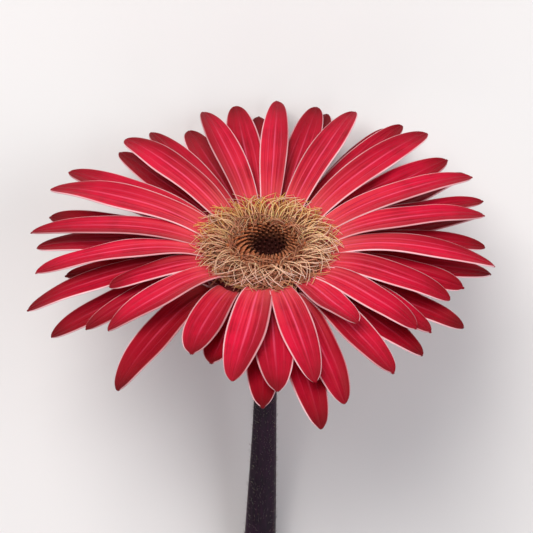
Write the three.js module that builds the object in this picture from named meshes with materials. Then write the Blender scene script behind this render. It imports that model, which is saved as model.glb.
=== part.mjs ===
// A cut gerbera lying on a flat surface: a bare stem that bends up at its neck, and a flower head
// that leans back on its lowest petals. The head is three whorls of petals (ray florets) seated on a
// fleshy receptacle, a cup of green bracts behind it and a disc of small florets in the middle.
// Millimetres and degrees. +Z is up and the surface is z = 0. The stem runs along -Y, and the
// origin is the centre of the bounding box's base.
//
// The head is built in its own frame, with the disc's face at z = 0 and +Z pointing out of the face.
// It is then tipped back until the face looks up at faceTilt, and lifted onto the surface.
import * as THREE from "three";

// ---- Driving dimensions ----
const flowerRadius = 57; // axis to the tip of a full-length petal
const discRadius = 17.5; // outer edge of the florets in the middle
const petalWidth = 8; // widest place of a full-width petal
const petalThickness = 0.5;
const receptacleRadius = 12.3; // fleshy base, at the uppermost whorl
const receptacleDepth = 14; // uppermost whorl down to the top of the stem
const seatDepth = 5; // disc face down to the uppermost whorl
const upperRise = 27; // slope at which the uppermost whorl leaves the receptacle
const middleRise = 19;
const lowerRise = 11;
const whorlDrop = 1.5; // each whorl is seated this much lower than the one above
const faceTilt = 40; // how far the face looks up from the horizontal
const stemLength = 320; // along the curve, neck to cut end
const neckDiameter = 5.4;
const stemDiameter = 8.8; // from the surface to the cut end
const stemSway = 4.6; // sideways bow of the stem at its middle
const bractCount = 20;
const bractThickness = 0.9;
const clearance = 0.3; // gap between pieces that touch

const colours = {
  petal: new THREE.MeshStandardMaterial({ color: 0xc4122f, roughness: 0.55, metalness: 0 }),
  outerFlorets: new THREE.MeshStandardMaterial({ color: 0xb98a4e, roughness: 0.8, metalness: 0 }),
  innerFlorets: new THREE.MeshStandardMaterial({ color: 0x7d4a26, roughness: 0.8, metalness: 0 }),
  buds: new THREE.MeshStandardMaterial({ color: 0x2a0d0a, roughness: 0.7, metalness: 0 }),
  green: new THREE.MeshStandardMaterial({ color: 0x55632f, roughness: 0.7, metalness: 0 }),
  stem: new THREE.MeshStandardMaterial({ color: 0x3f3b2c, roughness: 0.65, metalness: 0 }),
};

const radians = THREE.MathUtils.degToRad;
const head = new THREE.Group();
const flower = new THREE.Group();

function addPiece(group, name, geometry, material) {
  const mesh = new THREE.Mesh(geometry, material);
  mesh.name = name;
  group.add(mesh);
}

// Moves every vertex of a geometry: place gets the vertex as a Vector3 and returns where it goes.
function reshape(geometry, place) {
  const position = geometry.attributes.position;
  for (let i = 0; i < position.count; i++) {
    const moved = place(new THREE.Vector3().fromBufferAttribute(position, i));
    position.setXYZ(i, moved.x, moved.y, moved.z);
  }
  return geometry;
}

// ---- Receptacle: a solid bowl that the stem carries and the petals are seated around ----
const wallSlope = 0.7; // how much the wall widens for each millimetre down
const lowestSeat = -seatDepth - 2 * whorlDrop;
const shoulder = lowestSeat - 0.8; // the wall turns in to the bowl here
const bowlBottom = -seatDepth - receptacleDepth;
const crownHeight = 1; // top of the receptacle above the uppermost whorl
const bowlSteps = 6;

function wallRadius(z) {
  return receptacleRadius + wallSlope * (-seatDepth - z);
}

// A point of the bowl's outside in the (radius, z) plane, from 0 at the stem to 1 at the shoulder,
// moved out square to the surface by offset.
function bowlPoint(t, offset) {
  const angle = (t * Math.PI) / 2;
  const width = wallRadius(shoulder) - neckDiameter / 2;
  const height = shoulder - bowlBottom;
  const outward = new THREE.Vector2(height * Math.sin(angle), -width * Math.cos(angle)).normalize();
  const r = neckDiameter / 2 + width * Math.sin(angle);
  const z = shoulder - height * Math.cos(angle);
  return new THREE.Vector2(r, z).addScaledVector(outward, offset);
}

// Spins a profile of (radius, z) points about the head's axis. Three spins it about Y.
function spin(profile, columns) {
  return new THREE.LatheGeometry(profile, columns).rotateX(Math.PI / 2);
}

const receptacleProfile = [new THREE.Vector2(0, bowlBottom)];
for (let i = 0; i <= bowlSteps; i++) {
  receptacleProfile.push(bowlPoint(i / bowlSteps, 0));
}
receptacleProfile.push(new THREE.Vector2(receptacleRadius, -seatDepth));
receptacleProfile.push(new THREE.Vector2(receptacleRadius - 0.5, -seatDepth + crownHeight));
receptacleProfile.push(new THREE.Vector2(0, -seatDepth + crownHeight));
addPiece(head, "receptacle", spin(receptacleProfile, 40), colours.green);

// ---- Bracts: a cup of narrow green leaves against the bowl, joined below and pointed at the rim ----
const bractOverhang = 7; // from the bowl's shoulder to the tips
const bractReach = wallRadius(shoulder) + bractOverhang;
const bractTipThickness = 0.5;
const bractStart = 0.25; // how far up the bowl the cup begins
const bractGap = 0.5; // cup to bowl, so that their flat facets stay clear of each other
const bractSplit = 0.5; // share of a bract's length that is joined to its neighbours
const bractNotch = 0.06; // how far a valley of the rim stands above the joined part
const bractSteps = 6;
const columnsPerBract = 4;

// One side of a bract's section: up the bowl, then out under the lowest petals to the tip.
function bractPoint(t, offset) {
  const onBowl = 0.7; // share of the length that lies on the bowl
  if (t < onBowl) {
    return bowlPoint(THREE.MathUtils.lerp(bractStart, 1, t / onBowl), offset);
  }
  const out = (t - onBowl) / (1 - onBowl);
  const foot = bowlPoint(1, offset);
  const thin = (bractThickness - bractTipThickness) * out * (offset > bractGap ? 1 : 0);
  return new THREE.Vector2(
    THREE.MathUtils.lerp(foot.x, bractReach, out),
    shoulder - (offset - thin) * out,
  );
}

// The rim is pointed by ending each column of the cup at its own place along the section.
function bractCup() {
  const columns = bractCount * columnsPerBract;
  const profile = [];
  for (let i = 0; i <= bractSteps; i++) {
    profile.push(bractPoint(i / bractSteps, bractGap + bractThickness));
  }
  for (let i = bractSteps; i >= 0; i--) {
    profile.push(bractPoint(i / bractSteps, bractGap));
  }
  profile.push(profile[0].clone());
  const geometry = new THREE.LatheGeometry(profile, columns);
  const rows = profile.length;
  const position = geometry.attributes.position;
  for (let i = 0; i < position.count; i++) {
    const column = Math.floor(i / rows) % columns;
    const row = i % rows;
    const outside = row <= bractSteps || row === rows - 1;
    const along = outside ? row % (rows - 1) : 2 * bractSteps + 1 - row;
    const fromMiddle = Math.abs(((column % columnsPerBract) / columnsPerBract) * 2 - 1);
    const free = (1 - bractSplit - bractNotch) * (1 - fromMiddle ** 1.5) + bractNotch;
    const t = along / bractSteps; // the lower half of the rows is joined, the upper half is free
    const end = t < 0.5 ? 2 * t * bractSplit : bractSplit + (2 * t - 1) * free;
    const offset = outside ? bractGap + bractThickness : bractGap;
    const point = bractPoint(end, offset);
    const azimuth = (column / columns) * 2 * Math.PI;
    position.setXYZ(i, point.x * Math.sin(azimuth), point.y, point.x * Math.cos(azimuth));
  }
  return geometry.rotateX(Math.PI / 2);
}
addPiece(head, "bracts", bractCup(), colours.green);

// ---- Disc: two toothed rings of open florets around a sunken middle of closed buds ----
const floretFoot = -seatDepth + crownHeight + clearance;
const columnsPerFloret = 3;

// A ring whose top and outer edge rise to a tooth for each floret. Its underside slopes up from its
// foot to underEdge.
function floretRing(inner, outer, underEdge, top, florets) {
  const bite = 1.3; // depth of the gap between two teeth
  const profile = [
    new THREE.Vector2(inner, floretFoot),
    new THREE.Vector2(outer, underEdge),
    new THREE.Vector2(outer - 0.3, underEdge + 0.8),
    new THREE.Vector2((inner + outer) / 2 + 0.5, top),
    new THREE.Vector2(inner + 0.2, top - 1.2),
    new THREE.Vector2(inner, floretFoot),
  ];
  const topRow = 3;
  const columns = florets * columnsPerFloret;
  const geometry = new THREE.LatheGeometry(profile, columns);
  const rows = profile.length;
  const position = geometry.attributes.position;
  for (let i = 0; i < position.count; i++) {
    const row = i % rows;
    const column = Math.floor(i / rows) % columns;
    if (column % columnsPerFloret !== 0 || row < 1 || row > topRow) continue;
    const radius = Math.hypot(position.getX(i), position.getZ(i));
    const shrink = row === topRow ? 1 : (radius - bite) / radius;
    const sink = row === topRow ? bite : 0;
    position.setXYZ(i, position.getX(i) * shrink, position.getY(i) - sink, position.getZ(i) * shrink);
  }
  return geometry.rotateX(Math.PI / 2);
}

const outerRingInside = receptacleRadius - 0.2;
const innerRingOutside = outerRingInside - clearance;
const innerRingInside = innerRingOutside - 3.2;
const outerUnderEdge =
  -seatDepth + (discRadius - receptacleRadius) * Math.tan(radians(upperRise)) + petalThickness + 0.15;
const outerTop = outerUnderEdge + 2.6;
addPiece(
  head,
  "disc_florets_outer",
  floretRing(outerRingInside, discRadius, outerUnderEdge, outerTop, 36),
  colours.outerFlorets,
);
addPiece(
  head,
  "disc_florets_inner",
  floretRing(innerRingInside, innerRingOutside, -2.4, 0.2, 26),
  colours.innerFlorets,
);

function budCushion() {
  const budRadius = innerRingInside - clearance;
  const rings = 7;
  const columns = 30;
  const bump = 0.35; // height of a bud above the gaps round it
  const profile = [new THREE.Vector2(0, floretFoot), new THREE.Vector2(budRadius, floretFoot)];
  for (let i = 0; i <= rings; i++) {
    const share = 1 - i / rings;
    const sunk = -2.2 + 1.1 * Math.sin(share * Math.PI * 0.8);
    profile.push(new THREE.Vector2(budRadius * share, sunk));
  }
  const geometry = new THREE.LatheGeometry(profile, columns);
  const rows = profile.length;
  const position = geometry.attributes.position;
  for (let i = 0; i < position.count; i++) {
    const row = i % rows;
    const column = Math.floor(i / rows) % columns;
    const raised = (row + column) % 2 === 0 && row > 1 && row < rows - 1;
    if (raised) position.setY(i, position.getY(i) + bump);
  }
  return geometry.rotateX(Math.PI / 2);
}
addPiece(head, "disc_buds", budCushion(), colours.buds);

// ---- Petals ----
// Each whorl rises from the receptacle at its own angle and lists its petals, anticlockwise from +X:
// [azimuth of the tip, reach %, tip drop %, width %, swing, roll]. Reach and drop are shares of
// flowerRadius, and width of petalWidth. Swing is how far round the base sits behind the tip, and
// roll turns the blade about its own length towards the tip.
const whorls = [
  {
    name: "upper",
    rise: upperRise,
    petals: [
      [14, 95, 4, 92, 0, -5],
      [28, 100, 2, 90, 0, -5],
      [47, 103, 0, 96, 0, 8],
      [67, 99, 0, 92, 0, -8],
      [87, 99, 0, 82, 0, 6],
      [107, 95, 0, 88, 2, 8],
      [130, 96, 2, 96, 0, -6],
      [156, 101, 4, 112, 0, 4],
      [172, 100, 6, 90, 0, 8],
      [186, 96, 8, 80, 0, 6],
      [199, 68, 5, 80, -1, 6],
      [215, 78, 9, 96, -2, 10],
      [260, 78, 7, 112, -4, 12],
      [284, 80, 7, 96, 2, 6],
      [306, 62, 0, 92, 0, -8],
      [325, 74, 10, 94, 2, 0],
      [342, 79, 10, 94, 2, 4],
      [358, 95, 10, 90, 0, -5],
    ],
  },
  {
    name: "middle",
    rise: middleRise,
    petals: [
      [8, 93, 13, 84, 0, 4],
      [21, 99, 6, 90, 0, -5],
      [37, 98, 2, 104, 0, 8],
      [55, 104, 3, 94, 0, 6],
      [77, 100, 2, 92, 0, 10],
      [98, 99, 2, 100, 0, -6],
      [122, 96, 4, 96, 0, 8],
      [147, 102, 6, 108, 0, 4],
      [174, 97, 11, 108, 0, 5],
      [192, 101, 19, 90, 0, 4],
      [206, 82, 16, 86, 0, 4],
      [244, 68, 7, 104, 9, 6],
      [273, 83, 7, 112, 0, 0],
      [291, 86, 16, 100, 0, -8],
      [307, 84, 12, 96, 0, -6],
      [329, 78, 14, 96, 0, -4],
      [349, 83, 11, 92, 0, 8],
    ],
  },
  {
    name: "lower",
    rise: lowerRise,
    petals: [
      [0, 94, 17, 94, 0, 4],
      [21, 99, 13, 92, 0, 0],
      [34, 104, 9, 98, 0, -6],
      [59, 106, 9, 94, 0, 6],
      [75, 104, 8, 94, 0, 0],
      [92, 100, 9, 96, 0, 0],
      [110, 102, 14, 96, 0, 0],
      [130, 101, 12, 94, 0, -8],
      [145, 98, 12, 106, 0, 6],
      [161, 98, 12, 110, 0, 0],
      [184, 84, 13, 88, 0, 0],
      [197, 93, 28, 96, -2, 0],
      [230, 92, 18, 104, 11, 10],
      [250, 65, 12, 96, 2, 0],
      [269, 86, 13, 96, 0, 6],
      [283, 95, 18, 96, 0, -6],
      [323, 79, 20, 100, 0, -8],
      [338, 87, 18, 96, 0, 0],
    ],
  },
];

const petalSteps = 8; // along a petal
const clawShare = 0.4; // width at the base of a petal, as a share of its widest
const tipShare = 0.14; // width of the blunt tip
const tipFall = 1.9; // how evenly a petal narrows to its tip
const widestAt = 0.62; // share of the length at which a petal is widest
const channel = 0.16; // depth of the shallow channel across a petal, as a share of its half width

// Half the width of a petal at s, from 0 at its base to 1 at its tip.
function halfWidthAt(s, width) {
  if (s < widestAt) {
    const growth = Math.sin((s / widestAt) * (Math.PI / 2));
    return (width / 2) * (clawShare + (1 - clawShare) * growth);
  }
  const fall = (s - widestAt) / (1 - widestAt);
  return (width / 2) * Math.sqrt(1 - (1 - tipShare ** 2) * fall ** tipFall);
}

// The centreline of a petal leaves the receptacle at the whorl's rise and bends evenly to its tip.
// Returns a function from s to a point in the head's frame.
function petalLine(seat, rise, azimuth, reach, drop, swing) {
  const across = reach - seat.radius;
  const down = -drop - seat.z;
  const lean = Math.atan2(down, across);
  const bend = radians(rise) - lean; // half the angle the petal turns through
  const length = (Math.hypot(across, down) * bend) / Math.sin(bend);
  return (s) => {
    const turned = bend * s;
    const run = Math.abs(turned) < 1e-6 ? length * s : (length * s * Math.sin(turned)) / turned;
    const slope = radians(rise) - turned;
    const r = seat.radius + run * Math.cos(slope);
    const azimuthHere = radians(azimuth - swing * (1 - s));
    const z = seat.z + run * Math.sin(slope);
    return new THREE.Vector3(r * Math.cos(azimuthHere), r * Math.sin(azimuthHere), z);
  };
}

// A petal is a thin box, two steps across and petalSteps along, bent onto its centreline.
function petal(seat, rise, row) {
  const [azimuth, reach, drop, width, swing, roll] = row;
  const inMillimetres = (share) => (share / 100) * flowerRadius;
  const line = petalLine(seat, rise, azimuth, inMillimetres(reach), inMillimetres(drop), swing);
  const step = 0.01;
  return reshape(new THREE.BoxGeometry(2, 1, 1, 2, petalSteps, 1), (corner) => {
    const s = corner.y + 0.5;
    const half = halfWidthAt(s, (petalWidth * width) / 100);
    const along = line(s + step).sub(line(s - step)).normalize();
    const normal = new THREE.Vector3(0, 0, 1).addScaledVector(along, -along.z).normalize();
    const across = new THREE.Vector3().crossVectors(along, normal);
    normal.applyAxisAngle(along, radians(roll * s));
    across.applyAxisAngle(along, radians(roll * s));
    const lift = corner.z * petalThickness + channel * half * corner.x ** 2;
    return line(s).addScaledVector(across, corner.x * half).addScaledVector(normal, lift);
  });
}

whorls.forEach((whorl, k) => {
  const z = -seatDepth - whorlDrop * k;
  const seat = { radius: wallRadius(z) + clearance, z };
  whorl.petals.forEach((row, i) => {
    const name = "petal_" + whorl.name + "_" + String(i + 1).padStart(2, "0");
    addPiece(head, name, petal(seat, whorl.rise, row), colours.petal);
  });
});

// ---- Head on the surface ----
head.rotation.x = radians(faceTilt - 90);
head.updateMatrixWorld(true);
head.position.z = -new THREE.Box3().setFromObject(head, true).min.z;
head.updateMatrixWorld(true);
flower.add(head);

// ---- Stem: leaves the head along its axis, curves down to the surface and lies along it ----
const stemTop = new THREE.Vector3(0, 0, bowlBottom - clearance).applyMatrix4(head.matrixWorld);
const tilt = radians(faceTilt);
const archRadius = (stemTop.z - stemDiameter / 2) / (1 - Math.cos(tilt));
const archLength = archRadius * tilt;
const thickensFrom = 15; // distance from the head at which the neck begins to thicken
const stemSides = 14;
const stemSteps = 36;

function stemSlope(d) {
  return tilt - Math.min(d, archLength) / archRadius;
}

// The centreline at a distance d from the head: an arch, then a straight run, with one slow bow
// sideways.
function stemLine(d) {
  const slope = stemSlope(d);
  const straight = Math.max(d - archLength, 0);
  const x = (-stemSway * (1 - Math.cos((2 * Math.PI * d) / stemLength))) / 2;
  const y = stemTop.y - archRadius * (Math.sin(tilt) - Math.sin(slope)) - straight;
  const z = stemTop.z - archRadius * (Math.cos(slope) - Math.cos(tilt));
  return new THREE.Vector3(x, y, z);
}

function stemRadius(d) {
  const thickening = THREE.MathUtils.smoothstep(d, thickensFrom, archLength);
  return THREE.MathUtils.lerp(neckDiameter, stemDiameter, thickening) / 2;
}

// A cylinder with its top at the head. Its rings stand square to the arch.
const stemGeometry = reshape(
  new THREE.CylinderGeometry(1, 1, 1, stemSides, stemSteps),
  (corner) => {
    const d = (0.5 - corner.y) * stemLength;
    const slope = stemSlope(d);
    const across = new THREE.Vector3(1, 0, 0);
    const up = new THREE.Vector3(0, -Math.sin(slope), Math.cos(slope));
    const r = stemRadius(d);
    return stemLine(d).addScaledVector(across, corner.x * r).addScaledVector(up, corner.z * r);
  },
);
addPiece(flower, "stem", stemGeometry, colours.stem);

// ---- Origin at the centre of the bounding box's base ----
const whole = new THREE.Box3().setFromObject(flower, true);
const middle = whole.getCenter(new THREE.Vector3());
flower.position.set(-middle.x, -middle.y, -whole.min.z);

export default flower;
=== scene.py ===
# A cut gerbera lying on a pale surface. Its bare stem bends up at the neck, and the flower head leans
# back on its lowest petals. Everything on the head is modelled in the head's own frame, in
# millimetres: the disc's face is z = 0, +Z points out of the face and +Y to the edge it leans on.
import math
import random

import bmesh
import bpy
from mathutils import Matrix, Vector


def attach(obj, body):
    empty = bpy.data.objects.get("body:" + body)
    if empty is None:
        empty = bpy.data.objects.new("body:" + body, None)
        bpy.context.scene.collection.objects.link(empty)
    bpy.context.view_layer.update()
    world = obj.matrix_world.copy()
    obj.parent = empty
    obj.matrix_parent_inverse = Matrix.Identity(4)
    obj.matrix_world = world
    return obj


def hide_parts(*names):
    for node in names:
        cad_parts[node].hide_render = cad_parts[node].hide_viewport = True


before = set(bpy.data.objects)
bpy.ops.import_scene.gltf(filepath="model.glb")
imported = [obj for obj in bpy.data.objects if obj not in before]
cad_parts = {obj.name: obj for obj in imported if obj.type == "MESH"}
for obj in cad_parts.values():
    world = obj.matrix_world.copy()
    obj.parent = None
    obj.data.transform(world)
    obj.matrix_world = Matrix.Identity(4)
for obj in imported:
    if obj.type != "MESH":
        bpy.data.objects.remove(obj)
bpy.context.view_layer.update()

# ---- Where the head is ----
# The receptacle is the fleshy base of the head. It is a turned solid with a flat top, so its axis
# and its top say where the disc's face is. The face looks up at 40 degrees from the horizontal.
face_tilt = math.radians(40)
face_above_receptacle = 4.0
out_of_face = Vector((0, math.cos(face_tilt), math.sin(face_tilt)))
to_leaning_edge = Vector((0, math.sin(face_tilt), -math.cos(face_tilt)))
to_right = Vector((1, 0, 0))


def middle_along(direction, points):
    reaches = [direction.dot(point) for point in points]
    return (min(reaches) + max(reaches)) / 2


receptacle_points = [vertex.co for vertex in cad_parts["receptacle"].data.vertices]
receptacle_top = max(out_of_face.dot(point) for point in receptacle_points)
head_centre = (
    to_right * middle_along(to_right, receptacle_points)
    + to_leaning_edge * middle_along(to_leaning_edge, receptacle_points)
    + out_of_face * (receptacle_top + face_above_receptacle / 1000)
)
head_place = Matrix((to_right, to_leaning_edge, out_of_face)).transposed().to_4x4()
head_place.translation = head_centre
head_place = head_place @ Matrix.Scale(0.001, 4)  # the head's millimetres to the world's metres


# ---- Petals (ray florets) ----
# Each is one soft strap seated on the receptacle's wall, narrowest at its base and blunt at its tip,
# with a shallow channel, long pleats and thin pale margins that are partly a painted glow. Three
# whorls stand one below another.
flower_radius = 57
petal_width = 8
petal_thickness = 0.42
whorl_drop = 1.5
seat_depth = 5
receptacle_radius = 12.3
wall_slope = 0.7  # how much the receptacle widens for each millimetre down
gap = 0.3  # between a petal's base and the wall

# Each whorl: how steeply its petals rise from their bases in degrees, then its petals. Each petal:
# azimuth of its tip anticlockwise from +X, reach %, tip drop %, width %, swing, roll.
# Reach and drop are shares of the flower's radius, and swing is how far the base sits behind the tip.
whorls = {
    "upper": (
        27,
        [
            (14, 95, 4, 92, 0, -5),
            (28, 100, 2, 90, 0, -5),
            (47, 103, 0, 96, 0, 8),
            (67, 99, 0, 92, 0, -8),
            (87, 99, 0, 82, 0, 6),
            (107, 95, 0, 88, 2, 8),
            (130, 96, 2, 96, 0, -6),
            (156, 101, 4, 112, 0, 4),
            (172, 100, 6, 90, 0, 8),
            (186, 96, 8, 80, 0, 6),
            (199, 68, 5, 80, -1, 6),
            (215, 78, 9, 96, -2, 10),
            (260, 78, 7, 112, -4, 12),
            (284, 80, 7, 96, 2, 6),
            (306, 62, 0, 92, 0, -8),
            (325, 74, 10, 94, 2, 0),
            (342, 79, 10, 94, 2, 4),
            (358, 95, 10, 90, 0, -5),
        ],
    ),
    "middle": (
        19,
        [
            (8, 93, 13, 84, 0, 4),
            (21, 99, 6, 90, 0, -5),
            (37, 98, 2, 104, 0, 8),
            (55, 104, 3, 94, 0, 6),
            (77, 100, 2, 92, 0, 10),
            (98, 99, 2, 100, 0, -6),
            (122, 96, 4, 96, 0, 8),
            (147, 102, 6, 108, 0, 4),
            (174, 97, 11, 108, 0, 5),
            (192, 101, 19, 90, 0, 4),
            (206, 82, 16, 86, 0, 4),
            (244, 68, 7, 104, 9, 6),
            (273, 83, 7, 112, 0, 0),
            (291, 86, 16, 100, 0, -8),
            (307, 84, 12, 96, 0, -6),
            (329, 78, 14, 96, 0, -4),
            (349, 83, 11, 92, 0, 8),
        ],
    ),
    "lower": (
        11,
        [
            (0, 94, 17, 94, 0, 4),
            (21, 99, 13, 92, 0, 0),
            (34, 104, 9, 98, 0, -6),
            (59, 106, 9, 94, 0, 6),
            (75, 104, 8, 94, 0, 0),
            (92, 100, 9, 96, 0, 0),
            (110, 102, 14, 96, 0, 0),
            (130, 101, 12, 94, 0, -8),
            (145, 98, 12, 106, 0, 6),
            (161, 98, 12, 110, 0, 0),
            (184, 84, 13, 88, 0, 0),
            (197, 93, 28, 96, -2, 0),
            (230, 92, 18, 104, 11, 10),
            (250, 65, 12, 96, 2, 0),
            (269, 86, 13, 96, 0, 6),
            (283, 95, 18, 96, 0, -6),
            (323, 79, 20, 100, 0, -8),
            (338, 87, 18, 96, 0, 0),
        ],
    ),
}

petal_steps_along = 30
petal_steps_across = 10
claw_share = 0.52  # width at the base, as a share of the widest
tip_share = 0.10  # width at the tip, likewise
widest_at = 0.56  # as a share of the petal's length, as are all the places along it
fullness = 1.07  # every blade is this much fuller than petal_width alone makes it
claw_rise = 1.9  # each base climbs this far beside the disc, and then the blade arches out
claw_top = 0.10  # where the climb ends
claw_end = 0.68  # where the blade is back on its own arch
channel_depth = 0.16  # how far the edges stand up, as a share of half the width
claw_cup = 0.3  # how much further they stand up at the base
pleat_height = 0.17
pleats_from = 0.15  # where the pleats reach their height
tip_starts = 0.8
sharpest_tip = 1.45  # the power that the outline falls away by
bluntest_tip = 2.1


def smooth_step(t):
    t = min(max(t, 0.0), 1.0)
    return t * t * (3 - 2 * t)


def wall_radius(z):
    return receptacle_radius + wall_slope * (-seat_depth - z)


def half_width(s, width, sharpness):
    if s < widest_at:
        growth = math.sin(s / widest_at * math.pi / 2)
        return width / 2 * (claw_share + (1 - claw_share) * growth)
    fall = (s - widest_at) / (1 - widest_at)
    return width / 2 * math.sqrt(1 - (1 - tip_share**2) * fall**sharpness)


def petal_line(seat_radius, seat_z, rise, azimuth, reach, drop, swing):
    """The centreline, a function of s from 0 at the base to 1 at the tip. It bends evenly."""
    across = reach - seat_radius
    down = -drop - seat_z
    bend = rise - math.atan2(down, across)
    length = math.hypot(across, down) * bend / math.sin(bend)

    def at(s):
        turned = bend * s
        run = length * s if abs(turned) < 1e-6 else length * s * math.sin(turned) / turned
        r = seat_radius + run * math.cos(rise - turned)
        z = seat_z + run * math.sin(rise - turned)
        here = math.radians(azimuth - swing * (1 - s))
        return Vector((r * math.cos(here), r * math.sin(here), z))

    return at


def frame_on(line, s, roll):
    """The point on a line at s, with the directions along it, across it and out of its upper side."""
    step = 0.01
    along = (line(s + step) - line(s - step)).normalized()
    up = (Vector((0, 0, 1)) - along * along.z).normalized()
    turn = Matrix.Rotation(math.radians(roll * s), 3, along)
    return line(s), along, turn @ along.cross(up), turn @ up


def make_piece(name, shape, node, finishes, place=head_place):
    """Turns a bmesh in millimetres into a finished object that stands for a CAD node."""
    bmesh.ops.transform(shape, matrix=place, verts=shape.verts)
    mesh = bpy.data.meshes.new(name)
    shape.to_mesh(mesh)
    shape.free()
    for polygon in mesh.polygons:
        polygon.use_smooth = True
    for finish in finishes:
        mesh.materials.append(finish)
    piece = bpy.data.objects.new(name, mesh)
    bpy.context.scene.collection.objects.link(piece)
    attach(piece, "root")
    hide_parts(node)
    return piece


def thicken(piece, thickness, levels, back_finish=0):
    """Gives a sheet its thickness, half to each side, and rounds it off."""
    solid = piece.modifiers.new("Thickness", "SOLIDIFY")
    solid.thickness = thickness / 1000
    solid.offset = 0
    solid.material_offset = back_finish
    if levels:
        smooth = piece.modifiers.new("Rounding", "SUBSURF")
        smooth.levels = levels
        smooth.render_levels = levels


class Socket:
    """One socket of a material's node tree. Python's operators on it add Math nodes."""

    def __init__(self, socket):
        self.socket = socket

    def node(self, kind, settings, values, output=0):
        """Any node: its settings first, then values or links for its inputs. Gives one output."""
        tree = self.socket.id_data
        made = tree.nodes.new(kind)
        for name, value in settings.items():
            if name == "stops":
                fill_ramp(made.color_ramp, value)
            else:
                setattr(made, name, value)
        for name, value in values.items():
            if isinstance(value, Socket):
                tree.links.new(value.socket, made.inputs[name])
            else:
                made.inputs[name].default_value = value
        return Socket(made.outputs[output])

    def maths(self, operation, *values):
        return self.node("ShaderNodeMath", {"operation": operation}, dict(enumerate(values)))

    def __add__(self, other):
        return self.maths("ADD", self, other)

    def __sub__(self, other):
        return self.maths("SUBTRACT", self, other)

    def __mul__(self, other):
        return self.maths("MULTIPLY", self, other)

    def __radd__(self, other):
        return self.maths("ADD", other, self)

    def __rsub__(self, other):
        return self.maths("SUBTRACT", other, self)

    def __rmul__(self, other):
        return self.maths("MULTIPLY", other, self)

    def __abs__(self):
        return self.maths("ABSOLUTE", self)

    def between(self, low, high):
        """0 below low, 1 above high, and a smooth step in between."""
        settings = {"interpolation_type": "SMOOTHSTEP"}
        values = {"Value": self, "From Min": low, "From Max": high}
        return self.node("ShaderNodeMapRange", settings, values)

    def part(self, axis):
        return self.node("ShaderNodeSeparateXYZ", {}, {0: self}, axis)

    def stretched(self, x, y, z):
        return self.node("ShaderNodeMapping", {}, {"Vector": self, "Scale": (x, y, z)})

    def noise(self, scale, detail=3.0, seed=0.0):
        """Noise from 0 to 1. Another seed gives another pattern."""
        settings = {"noise_dimensions": "4D"}
        values = {"Vector": self, "W": seed, "Scale": scale, "Detail": detail, "Roughness": 0.55}
        return self.node("ShaderNodeTexNoise", settings, values, "Fac")

    def blend(self, under, over):
        """A colour that goes from under to over as this value goes from 0 to 1."""
        return self.node("ShaderNodeMix", {"data_type": "RGBA"}, {0: self, 6: under, 7: over}, 2)


def fill_ramp(ramp, stops):
    while len(ramp.elements) < len(stops):
        ramp.elements.new(0.5)
    for element, (position, colour) in zip(ramp.elements, stops):
        element.position = position
        element.color = colour


def new_finish(name):
    """A new material. Gives it, its shader, and its place and UV sockets."""
    material = bpy.data.materials.new(name)
    material.use_nodes = True
    tree = material.node_tree
    shader = tree.nodes["Principled BSDF"]
    coordinates = tree.nodes.new("ShaderNodeTexCoord")
    return material, shader, Socket(coordinates.outputs["Object"]), Socket(coordinates.outputs["UV"])


def attribute(near, name):
    """A piece's own named value, as a socket in the same tree as near."""
    return near.node("ShaderNodeAttribute", {"attribute_name": name}, {}, "Fac")


def finish_with(shader, **inputs):
    """Sets the shader's inputs. A name's underscores stand for spaces."""
    for name, value in inputs.items():
        socket = shader.inputs[name.replace("_", " ")]
        if isinstance(value, Socket):
            socket.id_data.links.new(value.socket, socket)
        else:
            socket.default_value = value


def bumped(height, strength, distance):
    values = {"Height": height, "Strength": strength, "Distance": distance}
    return height.node("ShaderNodeBump", {}, values, "Normal")


crimson = (0.62, 0.004, 0.036, 1)
deep_red = (0.19, 0.001, 0.005, 1)
shade_maroon = (0.065, 0.002, 0.003, 1)
coral = (0.74, 0.095, 0.100, 1)
hot_pink = (0.86, 0.10, 0.20, 1)
pale_edge_glow_pink = (0.95, 0.58, 0.62, 1)
petal_back_pink = (0.62, 0.15, 0.19, 1)
petal_foot_green = (0.42, 0.27, 0.14, 1)


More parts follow.
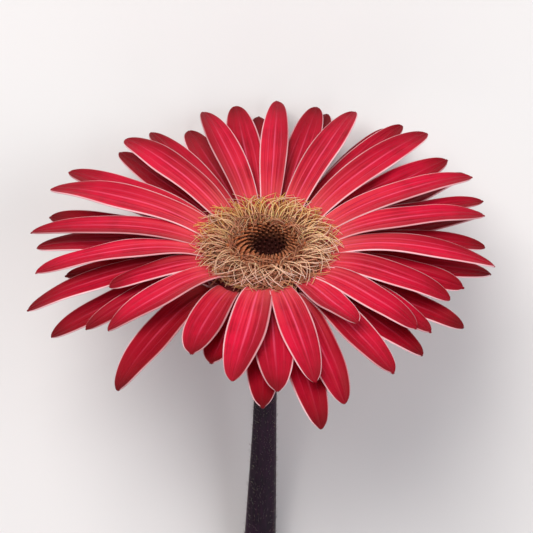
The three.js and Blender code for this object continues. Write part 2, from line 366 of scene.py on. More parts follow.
def petal_finish(name, is_back):
    material, shader, place, uv = new_finish(name)
    u = uv.part(0) * 2 - 1
    s = uv.part(1)
    tone = attribute(uv, "tone")
    seed = attribute(uv, "seed")
    warp = (place.noise(90.0) - 0.5) * 0.10
    wide = abs(u + warp * 0.5)
    # Long fine veins run the petal's length.
    veins = uv.stretched(20, 1.3, 1).noise(1.0, 4.0, seed)
    fibres = uv.stretched(70, 5.0, 1).noise(1.0, 2.0, seed)
    blotch = place.noise(160.0, 4.0)
    body = (veins * 0.5 + blotch * 0.5).between(0.22, 0.60).blend(deep_red, crimson)
    # Painted shade: one flank of each petal is darker than the other.
    flank = (u * attribute(uv, "flank")).between(-0.25, 0.8)
    body = (flank * 0.75).blend(body, deep_red)
    # Tone varies at random, and the lower whorls are painted in deeper shade.
    body = (tone * 0.9 + 0.05).between(0.0, 1.0).blend(deep_red, body)
    # Coral at the foot, a painted coral glow along the veins near it, and painted shade that darkens the
    # tip, most on the lower whorls.
    foot = 1 - (s + warp).between(0.02, 0.34)
    body = (foot * 0.6).blend(body, coral)
    glow = (1 - (s + warp).between(0.1, 0.7)) * veins.between(0.35, 0.65) * tone
    body = (glow * 0.45).blend(body, coral)
    tip = (s + warp).between(0.68, 1.0)
    body = (tip * (0.95 - tone * 0.35)).blend(body, deep_red)
    # Painted shade, deepest at the very tip.
    tip_shade = (s + warp * 2).between(0.84, 1.02) * (1.1 - tone)
    body = (tip_shade * 0.8).blend(body, shade_maroon)
    # Three pale lines on the pleats, one along the middle and one to each side: partly the petal's own
    # colour and partly a painted highlight, brightest on the least shaded petals.
    drift = (uv.stretched(0, 1.5, 1).noise(1.0, 1.0, seed) - 0.5) * 0.35
    middle = 1 - abs(u + warp * 0.5 + drift * 0.4).between(0.015, 0.10)
    side = 1 - abs(abs(u + drift) - 0.46).between(0.01, 0.08)
    side = side * (0.4 + veins)
    fading = 1 - s.between(0.55, 0.95)
    pleat_lines_and_highlight = (middle * 0.8 + side * 0.5) * (fading * 0.8 + 0.2) * (fibres * 0.9 + 0.35) * (tone * 0.7 + 0.3)
    body = pleat_lines_and_highlight.between(0.0, 1.1).blend(body, hot_pink)
    # Pale margins: partly the petal's own pale edge and partly a painted glow, fainter on the shaded flank.
    margin_and_glow = wide.between(0.88, 0.96) * (place.noise(130.0, 2.0) * 0.8 + 0.5) * (1 - flank * 0.45)
    body = (margin_and_glow * 0.88).blend(body, pale_edge_glow_pink)
    if is_back:
        body = (0.35 + fibres * 0.5).blend(body, petal_back_pink)
        body = ((1 - s.between(0.0, 0.35)) * 0.5).blend(body, petal_foot_green)
    relief = fibres * 0.35 + veins * 0.45 + middle * 0.6 + side * 0.3
    finish_with(
        shader,
        Base_Color=body,
        Roughness=0.44 + veins * 0.16,
        Normal=bumped(relief, 0.55, 0.00022),
        Subsurface_Weight=0.12,
        Subsurface_Scale=0.002,
        Subsurface_Radius=(1.0, 0.25, 0.2),
        Sheen_Weight=0.04,
        Sheen_Roughness=0.4,
        Sheen_Tint=(1.0, 0.35, 0.45, 1),
        Specular_IOR_Level=0.10,
    )
    return material


petal_face = petal_finish("petal_face", False)
petal_back = petal_finish("petal_back", True)


def make_petal(name, seat_radius, seat_z, rise, depth, row, chance):
    azimuth, reach, drop, width, swing, roll = row
    line = petal_line(
        seat_radius,
        seat_z,
        math.radians(rise),
        azimuth,
        reach / 100 * flower_radius,
        drop / 100 * flower_radius,
        swing,
    )
    full_width = petal_width * fullness * width / 100
    sharpness = chance.uniform(sharpest_tip, bluntest_tip)
    phase = chance.uniform(0, 2 * math.pi)
    waves = chance.uniform(1.2, 2.4)
    ripple = chance.uniform(0.10, 0.30)
    notch = chance.uniform(0.2, 0.8)
    # Tone varies at random, less the painted shade of the petal's whorl.
    tone = chance.uniform(0.75, 1.0) - depth
    # Which flank of the petal is painted in shade, and how deeply.
    flank = chance.uniform(0.3, 1.0) * chance.choice((-1, 1))
    seed = chance.uniform(0, 40)
    shape = bmesh.new()
    uv = shape.loops.layers.uv.new("UVMap")
    tone_layer = shape.verts.layers.float.new("tone")
    shaded_flank_layer = shape.verts.layers.float.new("flank")
    seed_layer = shape.verts.layers.float.new("seed")
    # A flat grid from -1 to 1 each way. It becomes u across the petal and s along it.
    bmesh.ops.create_grid(shape, x_segments=petal_steps_across, y_segments=petal_steps_along, size=1)
    for face in shape.faces:
        for loop in face.loops:
            loop[uv].uv = (loop.vert.co.x / 2 + 0.5, loop.vert.co.y / 2 + 0.5)
    for vertex in shape.verts:
        u = vertex.co.x
        s = vertex.co.y / 2 + 0.5
        half = half_width(s, full_width, sharpness)
        point, along, across, up = frame_on(line, s, roll)
        near_tip = max(0.0, (s - tip_starts) / (1 - tip_starts))
        spread = min(1.0, s / pleats_from)
        climb = smooth_step(s / claw_top) * (1 - smooth_step((s - claw_top) / (claw_end - claw_top)))
        lift = (channel_depth * half + claw_cup * climb) * u * u + claw_rise * climb
        lift += pleat_height * spread * (1 - near_tip * 0.6) * math.cos(u * 3 * math.pi)
        lift += ripple * spread * u * u * math.sin(waves * 2 * math.pi * s + phase + u)
        back = near_tip**2 * notch * (0.9 * u * u + 0.35 * math.cos(u * 3 * math.pi))
        vertex.co = point + across * (u * half) + up * lift - along * back
        vertex[tone_layer] = tone
        vertex[shaded_flank_layer] = flank
        vertex[seed_layer] = seed
    return shape


shade_by_whorl = 0.27  # each whorl is painted in deeper shade than the one above it, which it lies under
petal_chance = random.Random(11)
for whorl_name, (rise, rows) in whorls.items():
    level = list(whorls).index(whorl_name)
    seat_z = -seat_depth - whorl_drop * level
    for count, row in enumerate(rows, 1):
        name = f"petal_{whorl_name}_{count:02d}"
        seat_radius = wall_radius(seat_z) + gap
        shape = make_petal(name, seat_radius, seat_z, rise, shade_by_whorl * level, row, petal_chance)
        petal = make_piece(name + "_blade", shape, name, [petal_face, petal_back])
        thicken(petal, petal_thickness, 1, back_finish=1)


# ---- Disc ----
# Several hundred small florets crowd on the receptacle's flat top. Open golden ones arch over the
# petals' feet, spent brown ones tangle inside them, and closed buds lean in round a pit painted dark
# with shade.
pit_radius = 6.2
pit_depth = 2.4
crest_z = -1.1
rim_starts = 9.5  # the florets' feet fall away from here to the rim
rim_fall = 2.0
feet_radius = 14.2
feet_sunk = 0.1  # how far the florets' feet are sunk in, so that nothing floats


def feet_height(r):
    """How high the florets' feet stand: a pit, a low crest round it, then a fall to the rim."""
    pit = pit_depth * smooth_step(1 - r / pit_radius)
    fall = rim_fall * smooth_step((r - rim_starts) / (feet_radius - rim_starts))
    return crest_z - pit - fall


def strand_template(sides, steps):
    """A closed unit rod along z from 0 to 1, to be bent along a line. It is never shown itself."""
    rod = bmesh.new()
    bmesh.ops.create_cone(
        rod, cap_ends=True, segments=sides, radius1=1, radius2=1, depth=1,
        matrix=Matrix.Translation((0, 0, 0.5)),
    )
    long_edges = [e for e in rod.edges if abs(e.verts[0].co.z - e.verts[1].co.z) > 0.5]
    bmesh.ops.subdivide_edges(rod, edges=long_edges, cuts=steps - 1)
    mesh = bpy.data.meshes.new("strand_template")
    rod.to_mesh(mesh)
    rod.free()
    return mesh


def add_strand(shape, template, line, width, thickness, tone, drift):
    """Bends a copy of the template along a line, with its width and thickness functions of s."""
    along_layer = shape.verts.layers.float["along"]
    tone_layer = shape.verts.layers.float["tone"]
    drift_layer = shape.verts.layers.float["drift"]
    already = len(shape.verts)
    shape.from_mesh(template)
    shape.verts.ensure_lookup_table()
    for vertex in shape.verts[already:]:
        s = vertex.co.z
        point, _, across, up = frame_on(line, s, 0)
        vertex[along_layer] = s
        vertex[tone_layer] = tone
        vertex[drift_layer] = drift
        vertex.co = point + up * (vertex.co.x * thickness(s)) + across * (vertex.co.y * width(s))


def new_strands():
    shape = bmesh.new()
    shape.verts.layers.float.new("along")
    shape.verts.layers.float.new("tone")
    shape.verts.layers.float.new("drift")
    return shape


def floret_finish(name, foot_colour, middle_colour, tip_colour, shade_colour, other_colour):
    """Foot to tip in three colours, with a share of the florets drifting to another colour."""
    material, shader, place, uv = new_finish(name)
    along = attribute(uv, "along")
    tone = attribute(uv, "tone")
    grain = place.noise(900.0, 3.0)
    colour = along.between(0.0, 0.45).blend(foot_colour, middle_colour)
    colour = along.between(0.55, 0.95).blend(colour, tip_colour)
    colour = attribute(uv, "drift").blend(colour, other_colour)
    # Painted shade: a low tone, with darker grain, takes a floret towards the shade colour.
    colour = (tone * 0.8 + grain * 0.35 - 0.1).between(0.0, 0.75).blend(shade_colour, colour)
    finish_with(
        shader,
        Base_Color=colour,
        Roughness=0.5 + grain * 0.25,
        Normal=bumped(grain, 0.4, 0.0001),
        Subsurface_Weight=0.1,
        Subsurface_Scale=0.001,
        Specular_IOR_Level=0.2,
    )
    return material


def arching_line(azimuth, foot, end, arch, sway):
    """From a foot (radius, height) to an end (radius, height), arching up and swaying sideways."""

    def at(s):
        r = foot[0] + (end[0] - foot[0]) * s
        z = foot[1] + (end[1] - foot[1]) * s + arch * math.sin(math.pi * s) * (1.2 - 0.4 * s)
        here = math.radians(azimuth + sway * s * s)
        return Vector((r * math.cos(here), r * math.sin(here), z))

    return at


# ---- Open florets ----
# The outermost florets are open: slim golden tubes that spring up from their feet and arch out over
# the petals. The lowest row hangs at the rim and hides where the petals are seated.
thread = strand_template(4, 7)
fine_thread = strand_template(3, 8)
disc_chance = random.Random(5)
tube_half_width = 0.13
tube_belly = 0.04  # how much wider it is halfway along
tube_narrowing = 0.08  # and how much narrower at its tip
tube_half_thickness = 0.11
tube_thinning = 0.05
open_florets = new_strands()
floret_rows = [
    # foot radius, foot height, end radius, end height, arch, how many
    (13.2, -4.3, 15.3, -3.0, 0.2, 96),
    (13.0, -3.4, 16.2, -0.9, 0.3, 84),
    (12.6, -2.9, 17.5, -0.4, 0.9, 96),
    (12.0, -2.3, 17.0, 0.1, 1.0, 84),
    (10.9, -1.7, 15.6, 0.5, 1.1, 66),
    (9.8, -1.3, 13.8, 0.6, 1.1, 50),
]
for foot_radius, foot_z, end_radius, end_z, arch, many in floret_rows:
    rosiness = 0.37 + 0.17 * (floret_rows[0][0] - foot_radius)
    for i in range(many):
        azimuth = 360 * (i + disc_chance.uniform(-0.4, 0.4)) / many
        to_back = math.sin(math.radians(azimuth))
        foot = (foot_radius + disc_chance.uniform(-0.4, 0.4), foot_z)
        end = (
            end_radius + 0.9 * to_back + disc_chance.uniform(-1.3, 1.1),
            end_z + 0.3 * to_back + disc_chance.uniform(-0.3, 0.5),
        )
        sway = disc_chance.uniform(-17, 17)
        line = arching_line(azimuth, foot, end, arch * disc_chance.uniform(0.6, 1.3), sway)
        size = disc_chance.uniform(0.75, 1.2)
        add_strand(
            open_florets,
            thread,
            line,
            lambda s: size * (tube_half_width + tube_belly * math.sin(math.pi * s) - tube_narrowing * s**2),
            lambda s: size * (tube_half_thickness - tube_thinning * s),
            disc_chance.uniform(0.1, 1.0),
            # Goldest at the rim and rosier elsewhere; golder again towards the edge that the head leans on,
            # which is painted light on the lit side.
            min(max(rosiness - 0.5 * to_back + disc_chance.uniform(-0.35, 0.35), 0), 1),
        )
open_finish = floret_finish(
    "open_florets",
    (0.26, 0.070, 0.026, 1),
    (0.68, 0.33, 0.080, 1),
    (0.90, 0.58, 0.11, 1),
    (0.30, 0.085, 0.035, 1),
    (0.62, 0.27, 0.17, 1),
)
make_piece("open_florets", open_florets, "disc_florets_outer", [open_finish])


# ---- Styles ----
# A style is the thin pale thread that a floret sends up. The longest come from the florets near the
# pit, and they reach out over the others to the petals' feet.
style_count = 140
style_radius = 0.125
style_taper = 0.055  # how much thinner it is at its tip
styles = new_strands()
for i in range(style_count):
    azimuth = 360 * (i + disc_chance.uniform(-0.45, 0.45)) / style_count
    foot_radius = disc_chance.uniform(6.8, 9.8)
    foot = (foot_radius, feet_height(foot_radius) + 0.4)
    end = (
        disc_chance.uniform(15.0, 18.6) + 1.2 * math.sin(math.radians(azimuth)),
        disc_chance.uniform(-0.4, 0.6),
    )
    arch = disc_chance.uniform(0.9, 2.1)
    line = arching_line(azimuth, foot, end, arch, disc_chance.uniform(-30, 30))
    size = disc_chance.uniform(0.8, 1.2)
    add_strand(
        styles,
        fine_thread,
        line,
        lambda s: size * (style_radius - style_taper * s),
        lambda s: size * (style_radius - style_taper * s),
        disc_chance.uniform(0.5, 1.0),
        # Golder towards the edge that the head leans on: painted light on the lit side.
        disc_chance.uniform(0.0, 0.5) * (1 + math.sin(math.radians(azimuth))),
    )
style_finish = floret_finish(
    "pale_styles",
    (0.66, 0.28, 0.14, 1),
    (0.88, 0.52, 0.34, 1),
    (0.95, 0.62, 0.52, 1),
    (0.45, 0.17, 0.09, 1),
    (0.88, 0.58, 0.20, 1),
)
make_piece("pale_styles", styles, "disc_florets_outer", [style_finish])


# ---- Spent florets ----
# Inside the open ones the florets have finished. Their brown threads have curled over sideways, and
# lie across each other like a nest that covers the florets' feet from the pit to the rim.
def curled_line(azimuth, radius, length, lean, turn, top):
    """Springs up and loops round sideways, as a spent style does."""
    start = Vector((radius * math.cos(math.radians(azimuth)), radius * math.sin(math.radians(azimuth)), 0))
    heading = math.radians(azimuth + lean)

    def at(s):
        angle = heading + turn * (s - 0.5)
        point = start + Vector((math.cos(angle), math.sin(angle), 0)) * (length * (s - 0.5))
        foot = feet_height(math.hypot(point.x, point.y))
        point.z = foot + 0.2 + top * math.sin(math.pi * (0.08 + 0.84 * s))
        return point

    return at


nest_inside = 6.9
nest_outside = 15.4
spent_count = 620
spent_radius = 0.125
spent_taper = 0.05
nest = new_strands()
for i in range(spent_count):
    radius = math.sqrt(disc_chance.uniform(nest_inside**2, nest_outside**2))
    line = curled_line(
        disc_chance.uniform(0, 360),
        radius,
        disc_chance.uniform(3.5, 8.0),
        disc_chance.uniform(35, 145) * disc_chance.choice((-1, 1)),
        disc_chance.uniform(0.3, 1.3) * disc_chance.choice((-1, 1)),
        disc_chance.uniform(0.9, 2.4),
    )
    size = disc_chance.uniform(0.75, 1.25)
    add_strand(
        nest,
        fine_thread,
        line,
        lambda s: size * (spent_radius - spent_taper * s),
        lambda s: size * (spent_radius - spent_taper * s),
        disc_chance.uniform(0.0, 1.0),
        disc_chance.uniform(0.0, 1.0) ** 2,
    )
nest_finish = floret_finish(
    "spent_florets",
    (0.38, 0.125, 0.065, 1),
    (0.58, 0.23, 0.13, 1),
    (0.76, 0.42, 0.29, 1),
    (0.26, 0.070, 0.036, 1),
    (0.50, 0.33, 0.17, 1),
)
make_piece("spent_florets", nest, "disc_florets_inner", [nest_finish])


# ---- Closed buds ----
# The middle florets haven't opened. They are packed in a spiral round the pit, lean in over it, and
# are smaller inside it, where they are painted dark with shade. The pit sits a little off the disc's
# middle.
pit_shift = Vector((0.9, -0.7, 0))
shift_ends = 9.5


def shift_pit(shape):
    for vertex in shape.verts:
        r = math.hypot(vertex.co.x, vertex.co.y)
        vertex.co += pit_shift * (1 - smooth_step(r / shift_ends))


bud_mesh = bpy.data.meshes.new("bud_template")
bud_shape = bmesh.new()
bmesh.ops.create_uvsphere(bud_shape, u_segments=6, v_segments=5, radius=1)
bud_shape.to_mesh(bud_mesh)
bud_shape.free()
golden_angle = math.radians(137.5)
bud_count = 250
buds_reach = 9.4
bud_radius = 0.30
bud_fattening = 0.14  # how much fatter the outermost are
bud_height = 0.6
bud_growth = 1.3  # and how much taller
bud_lean = 0.75  # how far the tips lean in round the pit, as a share of the height
buds = new_strands()
for i in range(bud_count):
    share = (i + 0.5) / bud_count
    r = buds_reach * math.sqrt(share)
    angle = i * golden_angle
    size = bud_radius + bud_fattening * share
    tall = bud_height + bud_growth * smooth_step(r / 7) + disc_chance.uniform(-0.15, 0.15)
    # Painted shade: the buds go dark towards the pit, and vary at random.
    tone = disc_chance.uniform(0.4, 1.0) * smooth_step((r - 3.0) / 4.6)
    drift = disc_chance.uniform(0.0, 0.5)
    out = Vector((math.cos(angle), math.sin(angle), 0))
    lean_in = bud_lean * smooth_step((r - 2) / 4) * (1 - smooth_step((r - 7) / 2))
    foot = out * r + Vector((0, 0, feet_height(r) - feet_sunk))
    already = len(buds.verts)
    buds.from_mesh(bud_mesh)
    buds.verts.ensure_lookup_table()
    for vertex in buds.verts[already:]:
        along = vertex.co.z / 2 + 0.5
        vertex[buds.verts.layers.float["along"]] = along
        vertex[buds.verts.layers.float["tone"]] = tone
        vertex[buds.verts.layers.float["drift"]] = drift
        lean = out * (-lean_in * along * along * tall)
        vertex.co = foot + lean + Vector((vertex.co.x * size, vertex.co.y * size, along * tall))
shift_pit(buds)
bud_finish = floret_finish(
    "closed_buds",
    (0.12, 0.016, 0.007, 1),
    (0.27, 0.056, 0.018, 1),
    (0.46, 0.14, 0.048, 1),
    (0.026, 0.002, 0.001, 1),
    (0.44, 0.19, 0.10, 1),
)
make_piece("closed_buds", buds, "disc_buds", [bud_finish])


# ---- Floret feet ----
# The feet of all the florets crowd together on the receptacle into one rough cushion. It is brown
# between the threads, and painted shade takes it to almost black in the pit.
cushion_steps = 16
steps_round = 64
cushion_thickness = 0.4
cushion = bmesh.new()
cushion_line = [feet_radius * i / cushion_steps for i in range(cushion_steps + 1)]
profile = [cushion.verts.new((r, 0, feet_height(r) - feet_sunk)) for r in cushion_line]
edges = [cushion.edges.new(pair) for pair in zip(profile, profile[1:])]
bmesh.ops.spin(
    cushion, geom=profile + edges, axis=(0, 0, 1), cent=(0, 0, 0), angle=2 * math.pi,
    steps=steps_round, use_merge=True,
)
bmesh.ops.remove_doubles(cushion, verts=cushion.verts, dist=0.001)
bmesh.ops.recalc_face_normals(cushion, faces=cushion.faces)
outwards = cushion.verts.layers.float.new("outwards")
for vertex in cushion.verts:
    vertex[outwards] = math.hypot(vertex.co.x, vertex.co.y) / feet_radius
shift_pit(cushion)
material, shader, place, uv = new_finish("floret_feet")
grain = place.noise(700.0, 4.0)
ground = grain.between(0.35, 0.7).blend((0.20, 0.055, 0.026, 1), (0.46, 0.17, 0.085, 1))
finish_with(
    shader,
    # Painted shade: almost black towards the pit.
    Base_Color=attribute(uv, "outwards").between(0.25, 0.60).blend((0.022, 0.002, 0.001, 1), ground),
    Roughness=0.8,
    Specular_IOR_Level=0.1,
    Normal=bumped(grain, 1.0, 0.0006),
)
cushion_piece = make_piece("floret_feet", cushion, "disc_buds", [material])
thicken(cushion_piece, cushion_thickness, 0)


# ---- Bracts ----
# Four rows of narrow pointed green leaves grow from the bowl behind the petals. They are pressed
# against it, overlap like tiles, and their dusky tips reach out under the petals.
below_whorls = 0.8
receptacle_depth = 14
neck_diameter = 5.4
shoulder = -seat_depth - 2 * whorl_drop - below_whorls
bowl_bottom = -seat_depth - receptacle_depth
neck_radius = neck_diameter / 2
bract_steps_across = 4
bract_steps_along = 12
bract_thickness = 0.4
bract_rows = [
    # start up the bowl, overhang past the shoulder, lift off the bowl, width, how many
    (0.42, 6.4, 0.35, 3.3, 28),
    (0.20, 3.0, 0.80, 3.1, 26),
    (0.06, -1.6, 1.20, 2.9, 22),
    (0.01, -3.4, 1.55, 2.5, 15),
]


def bowl_point(t, offset):
    angle = t * math.pi / 2
    width = wall_radius(shoulder) - neck_radius
    height = shoulder - bowl_bottom
    outward = Vector((height * math.sin(angle), 0, -width * math.cos(angle))).normalized()
    point = Vector((neck_radius + width * math.sin(angle), 0, shoulder - height * math.cos(angle)))
    return point + outward * offset


def bract_line(start, overhang, offset, azimuth):
    """Up the bowl, then out below the petals, as a function of s."""
    bowl_share = 0.72 if overhang > 0 else 1.0
    end = 1.0 if overhang > 0 else 1.0 + overhang * 0.09
    turn = Matrix.Rotation(math.radians(azimuth), 3, "Z")

    def at(s):
        if s <= bowl_share:
            return turn @ bowl_point(start + (end - start) * s / bowl_share, offset)
        out = (s - bowl_share) / (1 - bowl_share) if overhang > 0 else s - bowl_share
        foot = bowl_point(end, offset)
        reach = max(overhang, 1.0)
        return turn @ (foot + Vector((reach * out, 0, -offset * 0.3 * out)))

    return at


bract_chance = random.Random(3)
bracts = bmesh.new()
bract_uv = bracts.loops.layers.uv.new("UVMap")
bract_tone = bracts.verts.layers.float.new("tone")
for start, overhang, offset, width, many in bract_rows:
    for i in range(many):
        azimuth = 360 * (i + bract_chance.uniform(-0.12, 0.12)) / many
        line = bract_line(start, overhang, offset + bract_chance.uniform(-0.05, 0.1), azimuth)
        roll = bract_chance.uniform(-8, 8)
        tip_lift = bract_chance.uniform(-0.1, 0.6)
        tone = bract_chance.uniform(0, 1)
        old_vertices = set(bracts.verts)
        old_faces = set(bracts.faces)
        bmesh.ops.create_grid(
            bracts, x_segments=bract_steps_across, y_segments=bract_steps_along, size=1
        )
        for face in set(bracts.faces) - old_faces:
            for loop in face.loops:
                loop[bract_uv].uv = (loop.vert.co.x / 2 + 0.5, loop.vert.co.y / 2 + 0.5)
        for vertex in set(bracts.verts) - old_vertices:
            u = vertex.co.x
            s = vertex.co.y / 2 + 0.5
            point, along, across, up = frame_on(line, min(max(s, 0.01), 0.99), 0)
            lean = Matrix.Rotation(math.radians(roll), 3, along)
            half = width / 2 * (0.70 + 0.30 * math.sin(math.pi * s)) * (1 - s**2.6) ** 0.8 + 0.08
            outside = along.cross(across)
            lift = outside * (0.22 * half * (1 - u * u) + tip_lift * s**4)
            vertex.co = point + lean @ across * (u * half) + lift
            vertex[bract_tone] = tone
bmesh.ops.recalc_face_normals(bracts, faces=bracts.faces)


def green_finish(name, dark, light, flush, flush_amount):
    material, shader, place, uv = new_finish(name)
    u = abs(uv.part(0) * 2 - 1)
    s = uv.part(1)
    fibres = uv.stretched(26, 3, 1).noise(1.0, 3.0)
    blotch = place.noise(220.0, 4.0)
    tone = attribute(uv, "tone")
    colour = (fibres * 0.5 + blotch * 0.4 + tone * 0.25).between(0.32, 0.82).blend(dark, light)
    keel = 1 - u.between(0.02, 0.16)
    colour = (keel * 0.45).blend(colour, light)
    edge = u.between(0.75, 1.0)
    colour = (edge * 0.5).blend(colour, flush)
    red = s.between(0.45, 1.0) + (1 - s.between(0.0, 0.3)) * 0.6
    red = (red + blotch * 0.5 - 0.3).between(0.0, 1.0) * flush_amount
    colour = red.blend(colour, flush)
    finish_with(
        shader,
        Base_Color=colour,
        Roughness=0.55 + blotch * 0.2,
        Normal=bumped(fibres * 0.6 + place.noise(1500.0, 2.0) * 0.5, 0.6, 0.0002),
        Sheen_Weight=0.35,
        Sheen_Roughness=0.35,
        Sheen_Tint=(0.85, 0.9, 0.75, 1),
        Subsurface_Weight=0.08,
        Subsurface_Scale=0.001,
    )
    return material


# Where the bracts' down will grow: the middle of each face, and the way out from the bowl.
bowl_middle = Vector((0, 0, shoulder))
bract_skin = []
for face in bracts.faces:
    middle = face.calc_center_median()
    bract_skin.append((middle, (middle - bowl_middle).normalized()))

bract_finish = green_finish(
    "bracts", (0.028, 0.048, 0.014, 1), (0.10, 0.145, 0.040, 1), (0.060, 0.012, 0.022, 1), 0.8
)
bract_piece = make_piece("involucre", bracts, "bracts", [bract_finish])
thicken(bract_piece, bract_thickness, 1)


# ---- Bracts' down ----
# Short fine hairs stand out all over the bracts, as they do on the stem. Each is a slim cone that
# tapers to its end.
hair_length = 1.0
hair_radius = 0.028
hairs_per_face = 2
hair_mesh = bpy.data.meshes.new("hair_template")
hair_shape = bmesh.new()
bmesh.ops.create_cone(
    hair_shape, cap_ends=True, segments=3, radius1=hair_radius, radius2=hair_radius * 0.15, depth=1,
    matrix=Matrix.Translation((0, 0, 0.5)),
)
hair_shape.to_mesh(hair_mesh)
hair_shape.free()


def grow_hairs(roots):
    """A shape with a hair for each root, which is a place, a direction and a length."""
    shape = bmesh.new()
    patch_size = 200
    for start in range(0, len(roots), patch_size):
        patch = bmesh.new()
        for place, direction, length in roots[start : start + patch_size]:
            already = len(patch.verts)
            patch.from_mesh(hair_mesh)
            patch.verts.ensure_lookup_table()
            turn = direction.to_track_quat("Z", "Y").to_matrix().to_4x4()
            to_place = Matrix.Translation(place) @ turn @ Matrix.Diagonal((1, 1, length, 1))
            bmesh.ops.transform(patch, matrix=to_place, verts=patch.verts[already:])
        patch_mesh = bpy.data.meshes.new("hair_patch")
        patch.to_mesh(patch_mesh)
        patch.free()
        shape.from_mesh(patch_mesh)
        bpy.data.meshes.remove(patch_mesh)
    return shape


dusk_starts = -170.0  # the flower darkens along y from here
dusk_is_full = 75.0


def near_head(place):
    """0 on the green part of the stem, rising raggedly to 1 near the head and on it."""
    return (place.part(1) * 1000 + place.noise(60.0) * 30).between(dusk_starts, dusk_is_full)


def down_finish(name, dusky, pale):
    """Dusky hairs near the head, partly a flush and partly painted shade, and pale ones further down the
    stem.
    """
    material, shader, place, uv = new_finish(name)
    speckled = place.noise(900.0, 2.0)
    finish_with(
        shader,
        Base_Color=near_head(place).blend(pale, speckled.between(0.3, 0.7).blend(dusky, pale)),
        Roughness=0.5 + speckled * 0.1,
        Subsurface_Weight=0.1,
        Subsurface_Scale=0.0005,
    )
    return material


bract_roots = []
for place, direction in bract_skin:
    for i in range(hairs_per_face):
        sideways = Vector([bract_chance.uniform(-0.5, 0.5) for axis in range(3)])
        length = hair_length * bract_chance.uniform(0.4, 0.9)
        bract_roots.append((place + sideways * 0.5, (direction + sideways).normalized(), length))
bract_down = down_finish("bract_down", (0.30, 0.26, 0.22, 1), (0.55, 0.55, 0.42, 1))
make_piece("bract_hairs", grow_hairs(bract_roots), "bracts", [bract_down])


# ---- Receptacle ----
# The fleshy base that everything on the head grows from. Only a little of its wall shows, between
# the petals' feet, and there it is painted a dusky red that stands for the petals' feet in shade.
material, shader, place, uv = new_finish("receptacle_flesh")
blotch = place.noise(260.0, 4.0)
finish_with(
    shader,
    # Painted shade: a dusky petal red, as the petals' shaded feet look.
    Base_Color=blotch.between(0.3, 0.7).blend((0.26, 0.008, 0.018, 1), (0.48, 0.060, 0.055, 1)),
    Roughness=0.5 + blotch * 0.2,
    Normal=bumped(place.noise(1200.0, 3.0), 0.5, 0.0003),
    Sheen_Weight=0.3,
)
receptacle_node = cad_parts["receptacle"]
receptacle_node.data.materials.clear()
receptacle_node.data.materials.append(material)


# ---- Stem ----
# A bare, downy, finely ribbed stalk. It thickens from the neck to where it meets the surface, is
# dark near the head, partly a flush and partly painted shade, and green lower down, and its cut end
# shows pale flesh round a hollow.
stem_length = 320.0
stem_diameter = 8.8
stem_bow = 4.6
neck_flare = 1.5
flare_length = 2.2
thickens_from = 15.0
stem_sides = 40
stem_steps = 150
rib_count = 9
rib_height = 0.022  # as a share of the stem's radius
rind_width = 0.06  # at the cut end, widths are shares of the radius and depths of the length
flesh_width = 0.34
hollow_edge = 0.05
edge_depth = 0.004
hollow_depth = 0.03
stem_top = head_place @ Vector((0, 0, bowl_bottom - gap)) * 1000
arch_radius = (stem_top.z - stem_diameter / 2) / (1 - math.cos(face_tilt))
arch_length = arch_radius * face_tilt


def stem_slope(d):
    return face_tilt - min(d, arch_length) / arch_radius


def stem_line(d):
    """The centreline at d millimetres from the head: an arch, then a straight run, bowed sideways."""
    slope = stem_slope(d)
    straight = max(d - arch_length, 0)
    x = stem_top.x - stem_bow * (1 - math.cos(2 * math.pi * d / stem_length)) / 2
    y = stem_top.y - arch_radius * (math.sin(face_tilt) - math.sin(slope)) - straight
    z = stem_top.z - arch_radius * (math.cos(slope) - math.cos(face_tilt))
    return Vector((x, y, z))


def stem_radius(d):
    t = min(max((d - thickens_from) / (arch_length - thickens_from), 0), 1)
    return (neck_diameter + (stem_diameter - neck_diameter) * t * t * (3 - 2 * t)) / 2


def on_stem(angle, share, d):
    """The point at an angle round the stem and a share of its radius out, d from the head."""
    slope = stem_slope(d)
    up = Vector((0, -math.sin(slope), math.cos(slope)))
    out = to_right * math.cos(angle) + up * math.sin(angle)
    flare = neck_flare * math.exp(-d / flare_length)
    return stem_line(d) + out * (share * (stem_radius(d) + flare)), out


# A unit rod: z runs from 0 at the head to 1 at the cut end. The cut end is inset and hollowed.
stem = bmesh.new()
bmesh.ops.create_cone(
    stem, cap_ends=True, segments=stem_sides, radius1=1, radius2=1, depth=1,
    matrix=Matrix.Translation((0, 0, 0.5)),
)
long_edges = [e for e in stem.edges if abs(e.verts[0].co.z - e.verts[1].co.z) > 0.5]
bmesh.ops.subdivide_edges(stem, edges=long_edges, cuts=stem_steps - 1)
stem.faces.ensure_lookup_table()
cut = [f for f in stem.faces if f.normal.z > 0.9]
bmesh.ops.inset_region(stem, faces=cut, thickness=rind_width)
bmesh.ops.inset_region(stem, faces=cut, thickness=flesh_width)
bmesh.ops.inset_region(stem, faces=cut, thickness=hollow_edge, depth=-edge_depth)
inward = bmesh.ops.extrude_face_region(stem, geom=cut)
bmesh.ops.delete(stem, geom=cut, context="FACES")
inward_vertices = [v for v in inward["geom"] if isinstance(v, bmesh.types.BMVert)]
bmesh.ops.translate(stem, vec=(0, 0, -hollow_depth), verts=inward_vertices)
for face in stem.faces:
    at_end = min(v.co.z for v in face.verts) > 0.955
    inner = min(math.hypot(v.co.x, v.co.y) for v in face.verts) < 0.97
    face.material_index = 1 if at_end and inner else 0
outwards = stem.verts.layers.float.new("outwards")
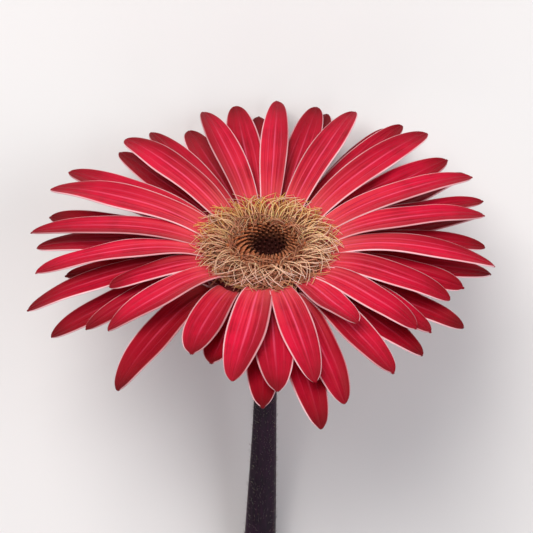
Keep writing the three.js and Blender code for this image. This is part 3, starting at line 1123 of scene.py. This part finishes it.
for vertex in stem.verts:
    vertex[outwards] = math.hypot(vertex.co.x, vertex.co.y)
    angle = math.atan2(vertex.co.y, vertex.co.x)
    d = vertex.co.z * stem_length
    share = math.hypot(vertex.co.x, vertex.co.y)
    rib = 1 + rib_height * math.cos(rib_count * angle + 0.9 * math.sin(d / 60)) * (share > 0.99)
    vertex.co = on_stem(angle, share * (rib - rib_height), d)[0]

material, shader, place, uv = new_finish("stem_skin")
stretched = place.stretched(1, 0.06, 1)
fibres = stretched.noise(1600.0, 3.0)
blotch = place.stretched(1, 0.3, 1).noise(120.0, 4.0)
mottle = fibres * 0.5 + blotch * 0.5
green = mottle.between(0.35, 0.7).blend((0.055, 0.10, 0.02, 1), (0.16, 0.24, 0.06, 1))
dusk = mottle.between(0.3, 0.75).blend((0.006, 0.001, 0.006, 1), (0.028, 0.006, 0.022, 1))
# Dark near the head: partly a purple flush and partly painted shade.
flush_and_shade = (near_head(place) + (blotch - 0.5) * 0.5).between(0.0, 0.92)
finish_with(
    shader,
    Base_Color=flush_and_shade.blend(green, dusk),
    Roughness=0.48 + fibres * 0.2,
    Normal=bumped(fibres + place.noise(2500.0, 2.0) * 0.5, 0.5, 0.0002),
    Sheen_Weight=0.25,
    Sheen_Roughness=0.12,
    Sheen_Tint=(0.80, 0.42, 0.75, 1),
    Specular_IOR_Level=0.2,
)
stem_skin = material

# The cut flesh is pale, with a ring of darker bundles under the skin.
material, shader, place, uv = new_finish("cut_flesh")
grain = place.noise(1800.0, 4.0)
flesh = grain.between(0.35, 0.65).blend((0.36, 0.42, 0.18, 1), (0.62, 0.64, 0.40, 1))
in_ring = 1 - abs(attribute(uv, "outwards") - 0.80).between(0.02, 0.14)
bundles = in_ring * place.noise(900.0, 1.0).between(0.4, 0.6)
finish_with(
    shader,
    Base_Color=(bundles * 0.8).blend(flesh, (0.13, 0.20, 0.05, 1)),
    Roughness=0.45,
    Normal=bumped(grain, 0.7, 0.0003),
    Subsurface_Weight=0.2,
    Subsurface_Scale=0.001,
)
to_metres = Matrix.Scale(0.001, 4)
make_piece("stem_stalk", stem, "stem", [stem_skin, material], to_metres)


# ---- Stem's down ----
# The stem's hairs stand out from its skin and lean towards the head. They are dusky near the head,
# partly a flush and partly painted shade, and pale on the green part, and none reaches into the
# surface.
hair_count = 7200
hair_chance = random.Random(8)
stem_roots = []
for i in range(hair_count):
    d = 2 + (stem_length - 3) * hair_chance.uniform(0.0, 1.0) ** 1.1
    root, out = on_stem(hair_chance.uniform(0, 2 * math.pi), 0.97, d)
    to_head = (stem_line(d - 0.5) - stem_line(d + 0.5)).normalized()
    sideways = out.cross(to_head) * hair_chance.uniform(-0.5, 0.5)
    direction = (out + to_head * hair_chance.uniform(0.4, 2.0) + sideways).normalized()
    length = hair_length * hair_chance.uniform(0.5, 1.1)
    if (root + direction * length).z > 0.1:
        stem_roots.append((root, direction, length))
stem_hair = down_finish("stem_down", (0.13, 0.055, 0.10, 1), (0.36, 0.36, 0.24, 1))
make_piece("stem_down", grow_hairs(stem_roots), "stem", [stem_hair], to_metres)


# ---- Surface, light and camera ----
# A plain pale table top carries the flower, and three large soft lights face its head. The camera
# stands straight above the head and well back, with a long lens.
table_half_width = 4
floor_shape = bmesh.new()
bmesh.ops.create_grid(floor_shape, x_segments=1, y_segments=1, size=table_half_width)
floor_mesh = bpy.data.meshes.new("table_top")
floor_shape.to_mesh(floor_mesh)
floor_shape.free()
floor = bpy.data.objects.new("table_top", floor_mesh)
bpy.context.scene.collection.objects.link(floor)
material, shader, place, uv = new_finish("pale_table")
finish_with(shader, Base_Color=(0.72, 0.70, 0.69, 1), Roughness=0.8)
floor_mesh.materials.append(material)

world = bpy.data.worlds.new("soft_room")
world.use_nodes = True
world.node_tree.nodes["Background"].inputs["Color"].default_value = (0.9, 0.92, 1.0, 1)
world.node_tree.nodes["Background"].inputs["Strength"].default_value = 0.35
bpy.context.scene.world = world
bpy.context.scene.view_settings.view_transform = "Standard"


def soft_light(name, offset, size, power, colour):
    light = bpy.data.lights.new(name, "AREA")
    light.size = size
    light.energy = power
    light.color = colour
    lamp = bpy.data.objects.new(name, light)
    bpy.context.scene.collection.objects.link(lamp)
    lamp.location = head_centre + Vector(offset)
    lamp.rotation_mode = "QUATERNION"
    lamp.rotation_quaternion = Vector(offset).to_track_quat("Z", "Y")


soft_light("key", (-0.35, 0.75, 1.0), 0.9, 17, (1.0, 0.97, 0.94))
soft_light("fill", (0.9, -0.1, 0.8), 0.9, 6, (0.95, 0.97, 1.0))
soft_light("back", (-0.2, -1.0, 0.6), 0.8, 3, (1.0, 0.98, 0.96))

camera_height = 0.6  # above the disc's face
camera = bpy.data.cameras.new("camera")
camera.sensor_width = 36
camera.lens = 172
eye = bpy.data.objects.new("camera", camera)
bpy.context.scene.collection.objects.link(eye)
eye.location = head_centre + Vector((0, -0.0055, camera_height))
bpy.context.scene.camera = eye
